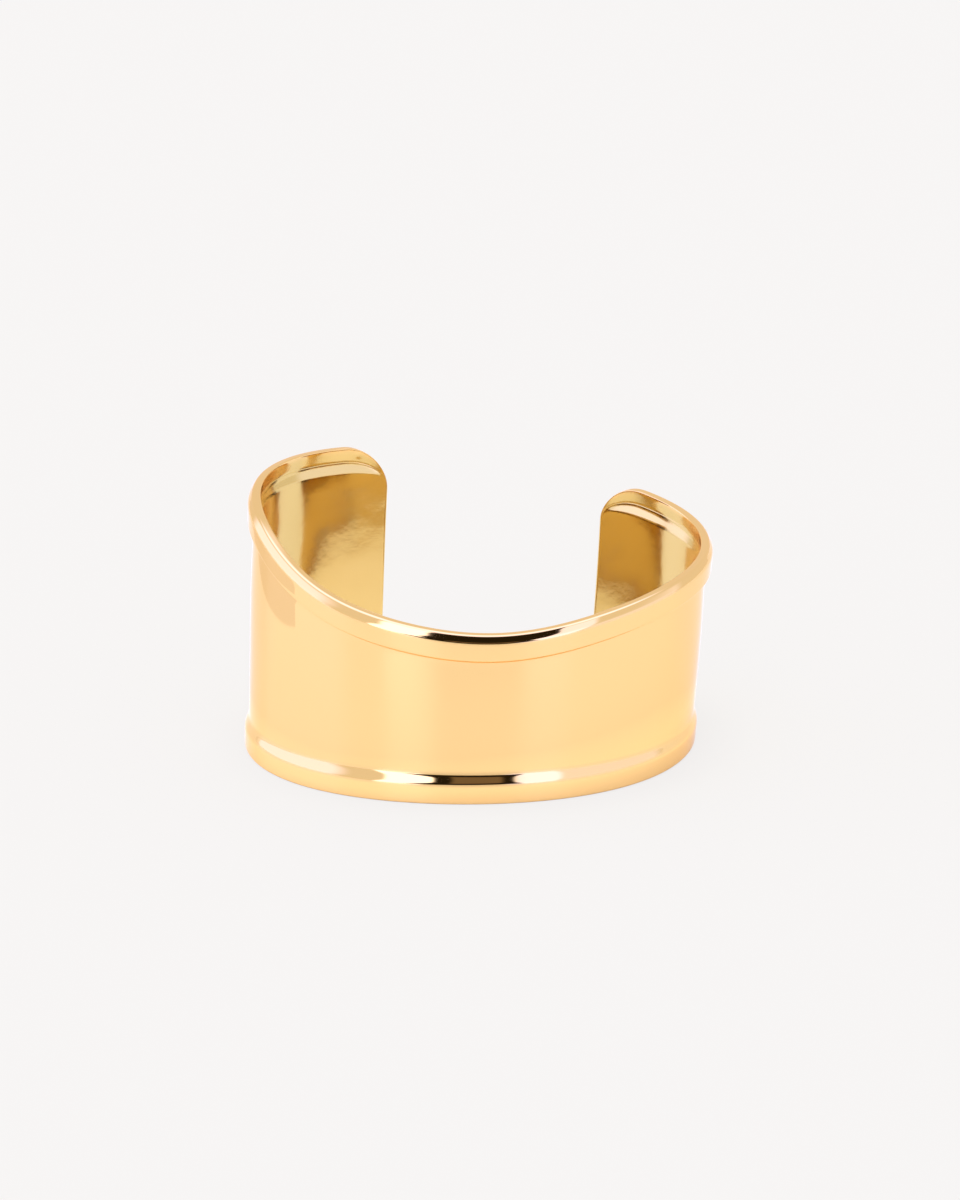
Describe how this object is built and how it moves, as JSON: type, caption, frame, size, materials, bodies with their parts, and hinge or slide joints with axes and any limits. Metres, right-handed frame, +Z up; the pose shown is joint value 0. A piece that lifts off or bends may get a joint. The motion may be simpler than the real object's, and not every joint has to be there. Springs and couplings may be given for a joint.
{
  "type": "cuff bracelet",
  "caption": "wide open cuff bracelet in polished gold-plated brass, taller on one arm, with a pressed rim along both edges",
  "frame": {"origin": "middle of the cuff's box, on the surface that its lower edge stands on", "axes": "+Z up along the wrist, -Y the front, +Y the gap at the back, -X the taller arm, +X the lower arm"},
  "size_m": [0.0644, 0.0494, 0.0364],
  "materials": {
    "gold_plated_brass": "mirror-polished pale yellow gold plating on formed brass sheet"
  },
  "bodies": {
    "root": {"cuff_band": "gold_plated_brass"}
  },
  "joints": []
}
